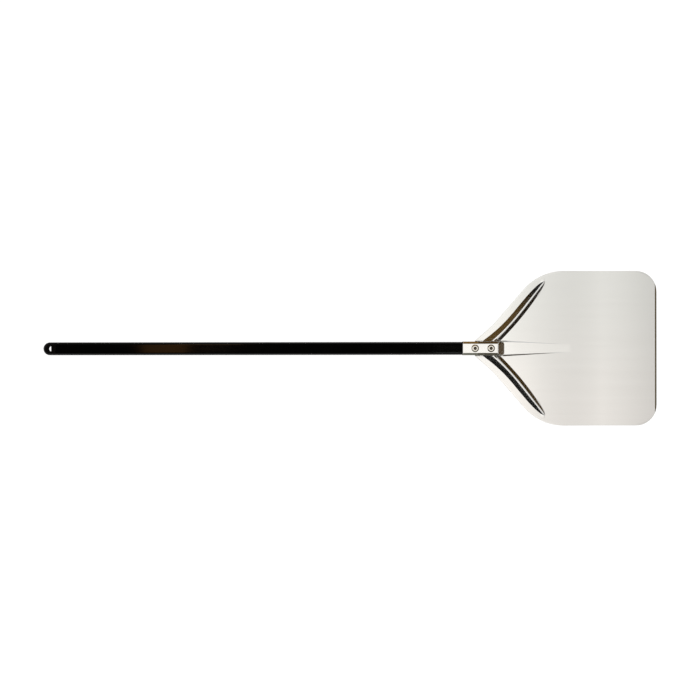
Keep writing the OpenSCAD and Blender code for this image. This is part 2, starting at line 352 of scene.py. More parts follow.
def blade_object():
    stations = np.concatenate([
        np.arange(7, 30, 0.8), np.arange(30, 94, 0.9), np.arange(94, 168, 1.2), np.arange(168, 180, 0.4),
        np.arange(180, 302, 3.2), np.linspace(302, HEAD_L - CORNER_R, 10),
        HEAD_L - CORNER_R + CORNER_R * np.sin(np.radians(np.arange(4, 66, 4))),
        [HEAD_L - BEVEL_W - 0.35, HEAD_L - BEVEL_W, HEAD_L - BEVEL_W + 0.35, HEAD_L - 2.9, HEAD_L - 2.0,
         HEAD_L - 1.2, HEAD_L - 0.6, HEAD_L]])
    stations = np.unique(np.round(stations, 4))
    half = np.array([blade_columns(q) for q in stations])
    y = np.concatenate([-half[:, :0:-1], half], axis=1)
    ns, nc = y.shape
    q = np.repeat(stations[:, None], nc, axis=1)
    # outline loop, once round, as (station, column)
    loop = [(i, nc - 1) for i in range(ns)] + [(ns - 1, m) for m in range(nc - 2, -1, -1)]
    loop += [(i, 0) for i in range(ns - 2, -1, -1)] + [(0, m) for m in range(1, nc - 1)]
    pts = np.array([(q[i, m], y[i, m]) for i, m in loop])
    tangent = np.roll(pts, -1, axis=0) - np.roll(pts, 1, axis=0)
    tangent /= np.linalg.norm(tangent, axis=1)[:, None]
    inward = np.stack([tangent[:, 1], -tangent[:, 0]], axis=1)
    if np.sum(inward * (np.array([250.0, 0.0]) - pts)) < 0:
        inward = -inward
    thick = SHEET_T - bevel(pts[:, 0])
    rim = np.minimum(0.32, 0.36 * thick)
    q_in, y_in = q.copy(), y.copy()
    for (i, m), p, n, r in zip(loop, pts, inward, rim):
        q_in[i, m], y_in[i, m] = p + n * r
    base = under_z(q_in, np.abs(y_in))
    top = top_z(q_in, np.abs(y_in))
    verts = [(X_NECK + a, b, c) for a, b, c in zip(q_in.ravel(), y_in.ravel(), top.ravel())]
    verts += [(X_NECK + a, b, c) for a, b, c in zip(q_in.ravel(), y_in.ravel(), base.ravel())]
    n_top = ns * nc
    faces = []
    for i in range(ns - 1):
        for m in range(nc - 1):
            a, b, c, d = i * nc + m, (i + 1) * nc + m, (i + 1) * nc + m + 1, i * nc + m + 1
            faces.append((a, b, c, d))
            faces.append((n_top + a, n_top + d, n_top + c, n_top + b))
    # rounded rim: top row, quarter round, side, quarter round, bottom row
    rows = [[i * nc + m for i, m in loop]]
    for s, down in ((0.62, 0.08), (0.293, 0.293), (0.08, 0.62), (0.0, 1.0)):
        rows.append([])
        for p, n, r in zip(pts, inward, rim):
            a = p + n * r * s
            rows[-1].append(len(verts))
            verts.append((X_NECK + a[0], a[1], float(top_z(a[0], abs(a[1]))) - r * down))
    for s, up in ((0.0, 1.0), (0.08, 0.62), (0.293, 0.293), (0.62, 0.08)):
        rows.append([])
        for p, n, r in zip(pts, inward, rim):
            a = p + n * r * s
            rows[-1].append(len(verts))
            verts.append((X_NECK + a[0], a[1], float(under_z(a[0], abs(a[1]))) + r * up))
    rows.append([n_top + i * nc + m for i, m in loop])
    count = len(loop)
    for u, v in zip(rows, rows[1:]):
        for k in range(count):
            j = (k + 1) % count
            faces.append((u[k], u[j], v[j], v[k]))
    return make_object("blade_sheet", verts, faces, angle=60)


# ---------------------------------------------------------------------------
# Neck ferrule: a folded sleeve, closed by a sloping nose
# ---------------------------------------------------------------------------
def ferrule_object():
    slope = (Q_NOSE_FOOT - Q_NOSE_TOP) / FER_H
    nq = 1 / math.sqrt(1 + slope * slope)
    r_out = HANDLE_R + CLEAR + FER_WALL
    zc = Z_FER + FER_H / 2

    def section(inset):
        return rounded_rect(FER_W / 2 - inset, FER_H / 2 - inset, r_out - inset, seg=14, inner=5, support=0.35)

    def flat_ring(q, inset):
        return [(X_NECK + q, y, zc + z) for y, z in section(inset)]

    def nose_ring(back, inset):
        return [(X_NECK + Q_NOSE_TOP + (FER_H / 2 - z) * slope - back / nq, y, zc + z) for y, z in section(inset)]

    w = FER_WALL
    rings = [nose_ring(FER_WALL + 0.4, w + 0.6), nose_ring(FER_WALL + 1.0, w)]
    rings += [flat_ring(Q_NOSE_TOP - 12 - 8 * k, w) for k in range(8)]
    rings += [flat_ring(Q_FER + 0.6, w), flat_ring(Q_FER + 0.3, w), flat_ring(Q_FER + 0.09, w - 0.09), flat_ring(Q_FER, w - 0.3)]
    rings += [flat_ring(Q_FER, 0.42), flat_ring(Q_FER + 0.1, 0.14), flat_ring(Q_FER + 0.2, 0.05), flat_ring(Q_FER + 0.42, 0.0),
              flat_ring(Q_FER + 0.8, 0.0)]
    for k in range(1, 19):
        t = k / 18
        body = flat_ring(Q_FER + 0.8, 0.0)
        nose = nose_ring(1.7, 0.0)
        rings.append([tuple(np.array(a) + (np.array(b) - np.array(a)) * t) for a, b in zip(body, nose)])
    rad = 1.1
    for phi in (0, 15, 30, 45, 60, 75, 90):
        s, c = math.sin(math.radians(phi)), math.cos(math.radians(phi))
        rings.append(nose_ring(rad * (1 - s), rad * (1 - c)))
    rings.append(nose_ring(0.0, rad + 0.35))
    rings.append(nose_ring(0.0, rad + 2.2))
    verts, faces = loft(rings, cap_start=True, cap_end=True)
    obj = make_object("ferrule_sleeve", verts, faces, angle=50)
    for x in RIVET_X:
        obj = boolean(obj, pin(x, Z_FER - 1, Z_FER_TOP + 1, RIVET_R + CLEAR), "DIFFERENCE")
    return obj


def pin(x, z0, z1, r, seg=48):
    verts, faces = revolve([(r, z0), (r, z1)], seg=seg, closed=False, cap_ends=True)
    return make_object("pin", [(x + a, b, c) for a, b, c in verts], faces)


# ---------------------------------------------------------------------------
# Handle tube and end cap
# ---------------------------------------------------------------------------
def tube_object():
    zc = Z_TUBE + HANDLE_H / 2
    x0, x1 = X_CAP + 0.03, X_NECK + Q_TUBE_END

    def ring(x, inset):
        return [(x, y, zc + z) for y, z in
                rounded_rect(HANDLE_W / 2 - inset, HANDLE_H / 2 - inset, HANDLE_R - inset, seg=12, inner=5, support=0.3)]

    w = HANDLE_WALL
    rings = [ring(x0, 0.30), ring(x0 + 0.06, 0.12), ring(x0 + 0.12, 0.05), ring(x0 + 0.3, 0.0), ring(x0 + 0.8, 0.0)]
    rings += [ring(x, 0.0) for x in np.linspace(x0 + 6, x1 - 6, 90)]
    rings += [ring(x1 - 0.8, 0.0), ring(x1 - 0.3, 0.0), ring(x1 - 0.09, 0.09), ring(x1, 0.3)]
    rings += [ring(x1, w - 0.3), ring(x1 - 0.09, w - 0.09), ring(x1 - 0.3, w)]
    rings += [ring(x, w) for x in np.linspace(x1 - 8, x0 + 8, 24)]
    rings += [ring(x0 + 0.3, w), ring(x0 + 0.09, w - 0.09), ring(x0, w - 0.3)]
    verts, faces = loft(rings, closed=True)
    obj = make_object("handle_tube_black", verts, faces, angle=50)
    for x in RIVET_X:
        obj = boolean(obj, pin(x, Z_TUBE - 1, Z_TUBE + HANDLE_H + 1, RIVET_R + CLEAR), "DIFFERENCE")
    return obj


def cap_object():
    cx, zc, r_lip = X_REAR + NOSE_R, Z_TUBE + HANDLE_H / 2, 0.5
    hx = HOLE_X - cx
    x_seam = X_CAP - 0.03
    n_nose, n_side, n_seam = 64, 14, 40

    def outline(inset, seam_back=0.0):
        """Plan outline about the hole: nose, side, seam, side."""
        r, out = NOSE_R - inset, []
        x1 = x_seam - cx - seam_back
        for k in range(n_nose + 1):
            a = math.radians(90 + 180 * k / n_nose)
            out.append((r * math.cos(a), r * math.sin(a)))
        for k in range(1, n_side + 1):
            t = k / n_side
            out.append((x1 * (1 - (1 - t) ** 1.6), -r))
        for k in range(1, n_seam):
            out.append((x1, -r + 2 * r * k / n_seam))
        for k in range(n_side, 0, -1):
            t = k / n_side
            out.append((x1 * (1 - (1 - t) ** 1.6), r))
        return out

    angles = [math.atan2(b, a - hx) for a, b in outline(HANDLE_R)]

    def hole(grow):
        """A round hole with a flat on the tube's side, grown outwards."""
        out = []
        for a in angles:
            c = math.cos(a)
            r = HOLE_R + grow
            if c > 0.01:
                r = min(r, (HOLE_FLAT + grow) / c)
            out.append((hx + r * c, r * math.sin(a)))
        return out

    def ring(points, z):
        return [(cx + a, b, zc + z) for a, b in points]

    def between(t):
        return [mix(np.array(a), np.array(b), t) for a, b in zip(hole(r_lip), outline(HANDLE_R))]

    hh = HANDLE_H / 2
    rings = []
    for sign in (1, -1):
        half = []
        for k in range(5):                                    # down the hole wall to its lip
            half.append(ring(hole(0.0), sign * (hh - r_lip) * k / 5))
        for phi in range(0, 91, 15):
            c, s = math.cos(math.radians(phi)), math.sin(math.radians(phi))
            half.append(ring(hole(r_lip * (1 - c)), sign * (hh - r_lip * (1 - s))))
        half += [ring(between(t), sign * hh) for t in (0.25, 0.5, 0.75)]
        for phi in range(90, -1, -9):
            c, s = math.cos(math.radians(phi)), math.sin(math.radians(phi))
            half.append(ring(outline(HANDLE_R * (1 - c), 0.0), sign * (hh - HANDLE_R * (1 - s))))
        for k in range(1, 4):
            half.append(ring(outline(0.0), sign * (hh - HANDLE_R) * (1 - k / 4)))
        rings.append(half)
    mid = [ring(outline(0.0), 0.0)]
    everything = rings[0] + mid + rings[1][::-1][:-1]
    verts, faces = loft(everything, closed=True)
    obj = make_object("end_cap_black", verts, faces, angle=50)
    inset = HANDLE_WALL + 0.15
    spigot = [[(x, y, zc + z) for y, z in rounded_rect(HANDLE_W / 2 - i, HANDLE_H / 2 - i, HANDLE_R - HANDLE_WALL - (i - inset),
                                                        seg=8, inner=2)]
              for x, i in ((x_seam - 1.0, inset), (x_seam + 29.0, inset), (x_seam + 30.0, inset + 1.0))]
    v, f = loft(spigot, cap_start=True, cap_end=True)
    return boolean(obj, make_object("spigot", v, f), "UNION")


# ---------------------------------------------------------------------------
# Rivets, mandrels, washers: turned about their own axis
# ---------------------------------------------------------------------------
def rivet_object(name, x):
    r_top = FLANGE_R - 2.5
    prof = [(RIVET_R, 0.0), (RIVET_R + 0.4, 0.0), (FLANGE_R - 0.5, 0.0), (FLANGE_R - 0.14, 0.0), (FLANGE_R - 0.03, 0.04),
            (FLANGE_R, 0.14), (FLANGE_R, 0.34), (FLANGE_R - 0.04, 0.47), (FLANGE_R - 0.16, 0.61)]
    prof += [(mix(FLANGE_R, r_top, t), mix(0.5, FLANGE_H, t)) for t in (0.14, 0.3, 0.5, 0.7, 0.84)]
    prof += [(r_top + 0.24, FLANGE_H - 0.185), (r_top + 0.12, FLANGE_H - 0.105), (r_top - 0.04, FLANGE_H - 0.045),
             (r_top - 0.24, FLANGE_H - 0.012), (r_top - 0.5, FLANGE_H), (4.4, FLANGE_H)]
    prof += [(3.8, FLANGE_H), (3.6, FLANGE_H - 0.015), (3.46, FLANGE_H - 0.06), (3.36, FLANGE_H - 0.13)]
    prof += [(mix(3.4, 1.6, t), FLANGE_H - 1.2 * t) for t in (0.2, 0.4, 0.6, 0.8)] + [(1.6, FLANGE_H - 1.16), (1.5, FLANGE_H - 1.26)]
    prof += [(1.46, FLANGE_H - 1.4)]
    tail_top = Z_FLOOR - 0.8 - Z_FER_TOP
    prof += [(1.46, 0.2), (1.46, -4.0), (1.46, -12.0), (1.46, tail_top), (1.46, tail_top - 2.2)]
    prof += [(1.6, tail_top - 2.36), (1.8, tail_top - 2.4), (2.7, tail_top - 2.4)]
    prof += [(3.05, tail_top - 2.33), (3.45, tail_top - 2.0), (3.7, tail_top - 1.6), (3.8, tail_top - 1.15),
             (3.78, tail_top - 0.7), (3.62, tail_top - 0.28), (3.4, tail_top - 0.06), (3.2, tail_top), (2.7, tail_top)]
    prof += [(RIVET_R, tail_top + 0.02), (RIVET_R, tail_top + 1.0), (RIVET_R, -12.0), (RIVET_R, -4.0), (RIVET_R, -0.6)]
    verts, faces = revolve(prof, seg=80)
    obj = make_object(name, verts, faces, angle=42)
    obj.location = (0.001 * x, 0.0, 0.001 * Z_FER_TOP)
    return obj


def mandrel_object(name, x):
    top = FLANGE_H - 0.5
    low = Z_FLOOR - 0.8 - 2.4 - Z_FER_TOP
    rings = [(0.35, top - 0.06), (0.62, top - 0.02), (0.9, top), (1.08, top - 0.05), (1.18, top - 0.16), (1.26, top - 0.42),
             (1.38, top - 0.62), (1.4, top - 0.85), (1.4, 0.2), (1.4, -6.0), (1.4, -14.0), (1.4, low + 0.1), (1.42, low - 0.02),
             (2.0, low - 0.02), (2.2, low - 0.06), (2.28, low - 0.16), (2.2, low - 0.4), (1.75, low - 0.92), (1.62, low - 1.04),
             (1.45, low - 1.1), (0.9, low - 1.1)]
    verts, faces = revolve(rings, seg=48, closed=False, cap_ends=True)
    obj = make_object(name, verts, faces, angle=42)
    obj.location = (0.001 * x, 0.0, 0.001 * Z_FER_TOP)
    return obj


def washer_object(name, x):
    z0, z1, r0, r1 = Z_FLOOR - 0.8, Z_FLOOR, RIVET_R + CLEAR, 7.0
    prof = [(r0, z0 + 0.12), (r0 + 0.04, z0 + 0.03), (r0 + 0.14, z0), (r0 + 0.5, z0), (r1 - 0.6, z0), (r1 - 0.26, z0),
            (r1 - 0.12, z0 + 0.03), (r1 - 0.03, z0 + 0.12), (r1, z0 + 0.26), (r1, z1 - 0.1), (r1 - 0.03, z1 - 0.03),
            (r1 - 0.1, z1), (r1 - 0.5, z1), (r0 + 0.5, z1), (r0 + 0.1, z1), (r0, z1 - 0.1)]
    verts, faces = revolve(prof, seg=72)
    obj = make_object(name, verts, faces, angle=42)
    obj.location = (0.001 * x, 0.0, 0.0)
    return obj


# ---------------------------------------------------------------------------
# Materials
# ---------------------------------------------------------------------------
class Mat:
    """A Principled material with short calls for its procedural nodes."""

    def __init__(self, name):
        self.mat = bpy.data.materials.new(name)
        self.mat.use_nodes = True
        self.tree = self.mat.node_tree
        self.bsdf = next(n for n in self.tree.nodes if n.type == "BSDF_PRINCIPLED")
        self.coord = self.tree.nodes.new("ShaderNodeTexCoord")

    def link(self, a, b):
        self.tree.links.new(a, b)

    def scaled(self, sx, sy, sz, rot=(0, 0, 0)):
        n = self.tree.nodes.new("ShaderNodeMapping")
        n.inputs["Scale"].default_value = (sx, sy, sz)
        n.inputs["Rotation"].default_value = tuple(math.radians(a) for a in rot)
        self.link(self.coord.outputs["Object"], n.inputs["Vector"])
        return n.outputs["Vector"]

    def noise(self, vector, scale=1.0, detail=3.0, rough=0.55):
        n = self.tree.nodes.new("ShaderNodeTexNoise")
        n.inputs["Scale"].default_value = scale
        n.inputs["Detail"].default_value = detail
        n.inputs["Roughness"].default_value = rough
        self.link(vector, n.inputs["Vector"])
        return n.outputs["Fac"]

    def ramp(self, value, stops):
        n = self.tree.nodes.new("ShaderNodeValToRGB")
        while len(n.color_ramp.elements) < len(stops):
            n.color_ramp.elements.new(0.5)
        for e, (p, c) in zip(n.color_ramp.elements, stops):
            e.position = p
            e.color = (*c, 1.0) if len(c) == 3 else c
        self.link(value, n.inputs["Fac"])
        return n.outputs["Color"]

    def remap(self, value, a, b, lo, hi):
        n = self.tree.nodes.new("ShaderNodeMapRange")
        for k, v in zip(("From Min", "From Max", "To Min", "To Max"), (a, b, lo, hi)):
            n.inputs[k].default_value = v
        self.link(value, n.inputs["Value"])
        return n.outputs["Result"]

    def mixed(self, factor, a, b):
        n = self.tree.nodes.new("ShaderNodeMix")
        n.data_type = "RGBA"
        self.link(factor, n.inputs["Factor"])
        self.link(a, [i for i in n.inputs if i.name == "A" and i.type == "RGBA"][0])
        self.link(b, [i for i in n.inputs if i.name == "B" and i.type == "RGBA"][0])
        return [o for o in n.outputs if o.type == "RGBA"][0]

    def math(self, op, a, b):
        n = self.tree.nodes.new("ShaderNodeMath")
        n.operation = op
        for k, v in enumerate((a, b)):
            if isinstance(v, (int, float)):
                n.inputs[k].default_value = v
            else:
                self.link(v, n.inputs[k])
        return n.outputs[0]

    def bump(self, height, strength, distance):
        n = self.tree.nodes.new("ShaderNodeBump")
        n.inputs["Strength"].default_value = strength
        n.inputs["Distance"].default_value = distance
        self.link(height, n.inputs["Height"])
        self.link(n.outputs["Normal"], self.bsdf.inputs["Normal"])

    def set(self, **kw):
        for k, v in kw.items():
            self.bsdf.inputs[k.replace("_", " ")].default_value = v

    def colour(self, socket):
        self.link(socket, self.bsdf.inputs["Base Color"])

    def rough(self, socket):
        self.link(socket, self.bsdf.inputs["Roughness"])


def sheet_aluminium():
    m = Mat("brushed_sheet_aluminium")
    fine = m.noise(m.scaled(16, 1900, 1900), detail=4, rough=0.65)
    broad = m.noise(m.scaled(2.2, 70, 70), detail=3, rough=0.6)
    cloud = m.noise(m.scaled(7, 7, 7), detail=4, rough=0.6)
    hair = m.noise(m.scaled(60, 2600, 2600, rot=(0, 0, 4)), detail=2, rough=0.5)
    tone = m.math("ADD", m.math("MULTIPLY", fine, 0.45), m.math("MULTIPLY", broad, 0.55))
    skin = m.ramp(tone, [(0.30, (0.858, 0.850, 0.828)), (0.52, (0.876, 0.869, 0.848)), (0.72, (0.892, 0.886, 0.867))])
    # front bevel along the front edge: a darker colour that is a painted dark brown reflection of the surroundings,
    # with grinding marks across it
    grind = m.noise(m.scaled(40, 700, 40), detail=4, rough=0.65)
    slow = m.noise(m.scaled(1, 9, 1), detail=2, rough=0.5)
    bevel_painted_reflection = m.ramp(m.math("ADD", m.math("MULTIPLY", grind, 0.4), m.math("MULTIPLY", slow, 0.6)),
                    [(0.30, (0.105, 0.078, 0.044)), (0.52, (0.135, 0.105, 0.064)), (0.74, (0.195, 0.170, 0.122))])
    sep = m.tree.nodes.new("ShaderNodeSeparateXYZ")
    m.link(m.coord.outputs["Object"], sep.inputs[0])
    face = m.tree.nodes.new("ShaderNodeSeparateXYZ")
    m.link(m.coord.outputs["Normal"], face.inputs[0])
    # mask of the painted bevel reflection: up-facing faces past the bevel line
    edge = m.math("MULTIPLY", m.remap(sep.outputs["X"], 0.001 * (X_FRONT - BEVEL_W), 0.001 * (X_FRONT - BEVEL_W) + 0.0004, 0.0, 1.0),
                  m.remap(face.outputs["Z"], 0.05, 0.3, 0.0, 1.0))
    m.colour(m.mixed(edge, skin, bevel_painted_reflection))
    worn = m.remap(hair, 0.66, 0.74, 0.0, 0.03)
    body = m.math("ADD", m.remap(fine, 0.25, 0.75, 0.115, 0.16), m.remap(cloud, 0.3, 0.7, -0.015, 0.015))
    m.rough(m.math("ADD", m.math("ADD", body, worn), m.math("MULTIPLY", edge, 0.16)))
    m.bump(m.math("ADD", fine, m.math("MULTIPLY", hair, 0.5)), 0.03, 0.00002)
    m.set(Metallic=1.0)
    return m.mat


def ferrule_aluminium():
    m = Mat("bright_sleeve_aluminium")
    drawn = m.noise(m.scaled(5, 1500, 1500), detail=4, rough=0.6)
    cloud = m.noise(m.scaled(45, 45, 45), detail=3, rough=0.55)
    m.colour(m.ramp(m.math("ADD", m.math("MULTIPLY", drawn, 0.6), m.math("MULTIPLY", cloud, 0.4)),
                    [(0.3, (0.83, 0.82, 0.795)), (0.5, (0.885, 0.878, 0.855)), (0.7, (0.92, 0.914, 0.893))]))
    m.rough(m.math("ADD", m.remap(drawn, 0.25, 0.75, 0.09, 0.14), m.remap(cloud, 0.3, 0.7, -0.015, 0.015)))
    m.bump(drawn, 0.03, 0.00002)
    m.set(Metallic=1.0)
    return m.mat


def gloss_black():
    m = Mat("gloss_black_lacquer")
    peel = m.noise(m.scaled(260, 420, 420), detail=2, rough=0.5)
    drawn = m.noise(m.scaled(3, 650, 650), detail=3, rough=0.55)
    rub = m.noise(m.scaled(9, 30, 30), detail=5, rough=0.65)
    m.colour(m.ramp(rub, [(0.3, (0.0028, 0.0027, 0.0025)), (0.7, (0.0058, 0.0055, 0.0050))]))
    m.rough(m.math("ADD", m.remap(rub, 0.3, 0.75, 0.06, 0.11), m.remap(drawn, 0.3, 0.7, -0.015, 0.02)))
    m.bump(m.math("ADD", m.math("MULTIPLY", peel, 0.7), m.math("MULTIPLY", drawn, 0.3)), 0.10, 0.00003)
    m.set(Specular_IOR_Level=0.25, Coat_Weight=0.1, Coat_Roughness=0.06)
    return m.mat


def cap_plastic():
    m = Mat("moulded_black_plastic")
    grain = m.noise(m.scaled(2400, 2400, 2400), detail=2, rough=0.55)
    flow = m.noise(m.scaled(55, 90, 90), detail=4, rough=0.6)
    m.colour(m.ramp(flow, [(0.3, (0.0036, 0.0035, 0.0034)), (0.7, (0.0075, 0.0072, 0.0068))]))
    m.rough(m.math("ADD", m.remap(flow, 0.3, 0.7, 0.22, 0.34), m.remap(grain, 0.3, 0.7, -0.03, 0.05)))
    m.bump(grain, 0.14, 0.00003)
    m.set(Specular_IOR_Level=0.3)
    return m.mat


def turned_aluminium(name, base, rough):
    m = Mat(name)
    w = m.tree.nodes.new("ShaderNodeTexWave")
    w.wave_type = "RINGS"
    w.rings_direction = "Z"
    w.inputs["Scale"].default_value = 900.0
    w.inputs["Distortion"].default_value = 1.4
    w.inputs["Detail"].default_value = 2.0
    w.inputs["Detail Scale"].default_value = 1.5
    m.link(m.coord.outputs["Object"], w.inputs["Vector"])
    speck = m.noise(m.scaled(900, 900, 900), detail=4, rough=0.6)
    mixed = m.math("ADD", m.math("MULTIPLY", w.outputs["Fac"], 0.4), m.math("MULTIPLY", speck, 0.6))
    lo = tuple(c * 0.86 for c in base)
    hi = tuple(min(1.0, c * 1.06) for c in base)
    m.colour(m.ramp(mixed, [(0.2, lo), (0.5, base), (0.8, hi)]))
    m.rough(m.remap(mixed, 0.2, 0.8, rough - 0.05, rough + 0.07))
    m.bump(mixed, 0.12, 0.00002)
    m.set(Metallic=1.0)
    return m.mat


def plain_steel():
    m = Mat("plain_steel")
    grain = m.noise(m.scaled(600, 600, 600), detail=4, rough=0.6)
    m.colour(m.ramp(grain, [(0.3, (0.36, 0.355, 0.345)), (0.7, (0.50, 0.49, 0.475))]))
    m.rough(m.remap(grain, 0.3, 0.7, 0.32, 0.48))
    m.bump(grain, 0.1, 0.00002)
    m.set(Metallic=1.0)
    return m.mat


# ---------------------------------------------------------------------------
# Pieces
# ---------------------------------------------------------------------------
def dress(obj, material):
    obj.data.materials.clear()
    obj.data.materials.append(material)
    return obj


alu = sheet_aluminium()
sleeve = ferrule_aluminium()
black = gloss_black()
plastic = cap_plastic()
rivet_alu = turned_aluminium("turned_rivet_aluminium", (0.78, 0.745, 0.67), 0.11)
# painted shade: the hollow cup of each rivet gets a dark brown colour that stands in for the shade inside it
cup_painted_shade = turned_aluminium("rivet_cup_painted_shade", (0.075, 0.060, 0.042), 0.30)
# painted shade: the mandrels, whose tops sit at the bottom of the rivet cups, are coloured dark to stand in for the
# shade there
stem_painted_shade = turned_aluminium("rivet_stem_painted_shade", (0.170, 0.145, 0.110), 0.28)
spacer_alu = turned_aluminium("turned_spacer_aluminium", (0.72, 0.71, 0.69), 0.34)
steel = plain_steel()

take(dress(blade_object(), alu), "blade")
take(dress(ferrule_object(), sleeve), "neck_ferrule")
take(dress(tube_object(), black), "handle_tube")
take(dress(cap_object(), plastic), "end_cap")
for tag, rx in zip(("rear", "front"), RIVET_X):
    body = dress(rivet_object(f"rivet_body_{tag}", rx), rivet_alu)
    body.data.materials.append(cup_painted_shade)
    # the faces inside the cup take the painted shade
    for face in body.data.polygons:
        if face.center.z > 0.0009 and math.hypot(face.center.x, face.center.y) < 0.0034:
            face.material_index = 1
    take(body, "rivet_bodies")
    take(dress(mandrel_object(f"rivet_mandrel_{tag}", rx), stem_painted_shade), "rivet_mandrels")
    take(dress(washer_object(f"rivet_washer_{tag}", rx), steel), "rivet_washers")
dress(frame["nodes"]["rivet_spacers"], spacer_alu)


# ---------------------------------------------------------------------------
# Stage: pale floor, soft light from above, dark flags that shape the metal's edges
# ---------------------------------------------------------------------------
def sheet(name, corners):
    mesh = bpy.data.meshes.new(name)
    mesh.from_pydata(corners, [], [(k, k + 1, k + 2, k + 3) for k in range(0, len(corners), 4)])
    obj = bpy.data.objects.new(name, mesh)
    bpy.context.scene.collection.objects.link(obj)
    return obj


def plane(name, x0, x1, y0, y1, z):
    return sheet(name, [(x0, y0, z), (x1, y0, z), (x1, y1, z), (x0, y1, z)])


def wall(name, a, b, z0, z1):
    return sheet(name, [(a[0], a[1], z0), (b[0], b[1], z0), (b[0], b[1], z1), (a[0], a[1], z1)])


def floor_material():
    m = Mat("pale_floor")
    cloud = m.noise(m.scaled(3, 3, 3), detail=3)
    m.colour(m.ramp(cloud, [(0.3, (0.24, 0.24, 0.24)), (0.7, (0.26, 0.26, 0.26))]))
    m.set(Roughness=0.9, Specular_IOR_Level=0.0, Emission_Color=(1.0, 1.0, 1.0, 1.0), Emission_Strength=0.90)
    return m.mat


def glow_material(name, colour, strength, along=None, across=None, patch=None):
    """Plain emission; along and across scale its colour by X and by Y, in metres of the stage, and patch adds a gain over part of it."""
    mat = bpy.data.materials.new(name)
    mat.use_nodes = True
    tree = mat.node_tree
    tree.nodes.clear()
    out = tree.nodes.new("ShaderNodeOutputMaterial")
    emit = tree.nodes.new("ShaderNodeEmission")
    emit.inputs["Color"].default_value = (*colour, 1.0)
    emit.inputs["Strength"].default_value = strength
    tree.links.new(emit.outputs["Emission"], out.inputs["Surface"])
    if along:
        coord = tree.nodes.new("ShaderNodeTexCoord")
        sep = tree.nodes.new("ShaderNodeSeparateXYZ")
        tree.links.new(coord.outputs["Object"], sep.inputs[0])

        def grade(axis, stops):
            a, b = stops[0][0], stops[-1][0]
            span = tree.nodes.new("ShaderNodeMapRange")
            span.inputs["From Min"].default_value = a
            span.inputs["From Max"].default_value = b
            tree.links.new(sep.outputs[axis], span.inputs["Value"])
            node = tree.nodes.new("ShaderNodeValToRGB")
            while len(node.color_ramp.elements) < len(stops):
                node.color_ramp.elements.new(0.5)
            for e, (x, c) in zip(node.color_ramp.elements, stops):
                e.position = (x - a) / (b - a)
                e.color = (*c, 1.0) if isinstance(c, tuple) else (c * colour[0], c * colour[1], c * colour[2], 1.0)
            tree.links.new(span.outputs["Result"], node.inputs["Fac"])
            return node.outputs["Color"]

        mul = tree.nodes.new("ShaderNodeVectorMath")
        mul.operation = "MULTIPLY"
        tree.links.new(grade("X", along), mul.inputs[0])
        tree.links.new(grade("Y", across), mul.inputs[1])
        result = mul.outputs[0]
        if patch:
            gain = tree.nodes.new("ShaderNodeVectorMath")
            gain.operation = "MULTIPLY"
            tree.links.new(grade("X", patch[0]), gain.inputs[0])
            tree.links.new(grade("Y", patch[1]), gain.inputs[1])
            lifted = tree.nodes.new("ShaderNodeVectorMath")
            lifted.operation = "MULTIPLY_ADD"
            tree.links.new(result, lifted.inputs[0])
            tree.links.new(gain.outputs[0], lifted.inputs[1])
            tree.links.new(result, lifted.inputs[2])
            result = lifted.outputs[0]
        tree.links.new(result, emit.inputs["Color"])
    return mat


floor = dress(plane("floor", -8, 8, -8, 8, -0.0006), floor_material())


def reflected_only(obj):
    obj.visible_camera = False
    obj.visible_diffuse = False
    obj.visible_shadow = False
    obj.visible_transmission = False
    return obj


def flag(obj, colour, along=None):
    even = [(-1.0, (1.0, 1.0, 1.0)), (1.0, (1.0, 1.0, 1.0))]
    return reflected_only(dress(obj, glow_material(obj.name, colour, 1.0, along, even)))


BROWN = (0.072, 0.043, 0.014)
BLACK = (0.005, 0.005, 0.005)
# large overhead panel, falling off beyond the blade's front edge
panel = dress(plane("overhead_panel", -2.6, 2.3, -2.0, 2.0, 2.40),
              glow_material("overhead_panel", (1.0, 0.992, 0.972), 1.0,
                            [(-2.6, 1.0), (0.36, 1.09), (0.64, 1.09), (0.74, 1.005), (0.80, 0.985), (1.0, 0.945), (1.13, 0.895), (1.27, 0.855), (1.31, 0.81),
                             (1.345, 0.745), (1.38, 0.69), (1.7, 0.64), (2.3, 0.62)],
                            [(-2.0, (1.0, 1.0, 1.0)), (-0.7, (1.02, 1.0, 0.985)), (-0.3, (1.025, 0.998, 0.985)),
                             (0.3, (0.97, 0.977, 0.965)), (0.7, (0.975, 0.98, 0.97)), (2.0, (1.0, 1.0, 1.0))],
                            ([(-2.6, 0.0), (0.60, 0.0), (0.76, 1.0), (1.04, 1.0), (1.17, 0.0), (2.3, 0.0)],
                             [(-2.0, (0.0, 0.0, 0.0)), (-0.60, (0.0, 0.0, 0.0)), (-0.34, (0.105, 0.105, 0.10)), (-0.17, (0.095, 0.085, 0.08)),
                              (-0.07, (0.045, 0.04, 0.04)), (0.02, (0.0, 0.0, 0.0)), (2.0, (0.0, 0.0, 0.0))])))
panel.visible_camera = False
# the panel is kept off the black handle, which gets small lights of its own
HANDLE = ("handle_tube_black", "end_cap_black")
lit = bpy.data.collections.new("panel_receivers")
for o in list(bpy.context.scene.objects):
    if o.type == "MESH" and o.name not in HANDLE:
        lit.objects.link(o)
panel.light_linking.receiver_collection = lit
dark = bpy.data.collections.new("handle_receivers")
for name in HANDLE:
    dark.objects.link(bpy.data.objects[name])


def handle_light(name, x0, x1, y0, y1, z, colour, radiance):
    data = bpy.data.lights.new(name, "AREA")
    data.shape = "RECTANGLE"
    data.size, data.size_y = x1 - x0, y1 - y0
    data.color = colour
    data.energy = radiance * math.pi * (x1 - x0) * (y1 - y0)
    obj = bpy.data.objects.new(name, data)
    obj.location = ((x0 + x1) / 2, (y0 + y1) / 2, z)
    bpy.context.scene.collection.objects.link(obj)
    obj.visible_camera = False
    obj.light_linking.receiver_collection = dark
    return obj


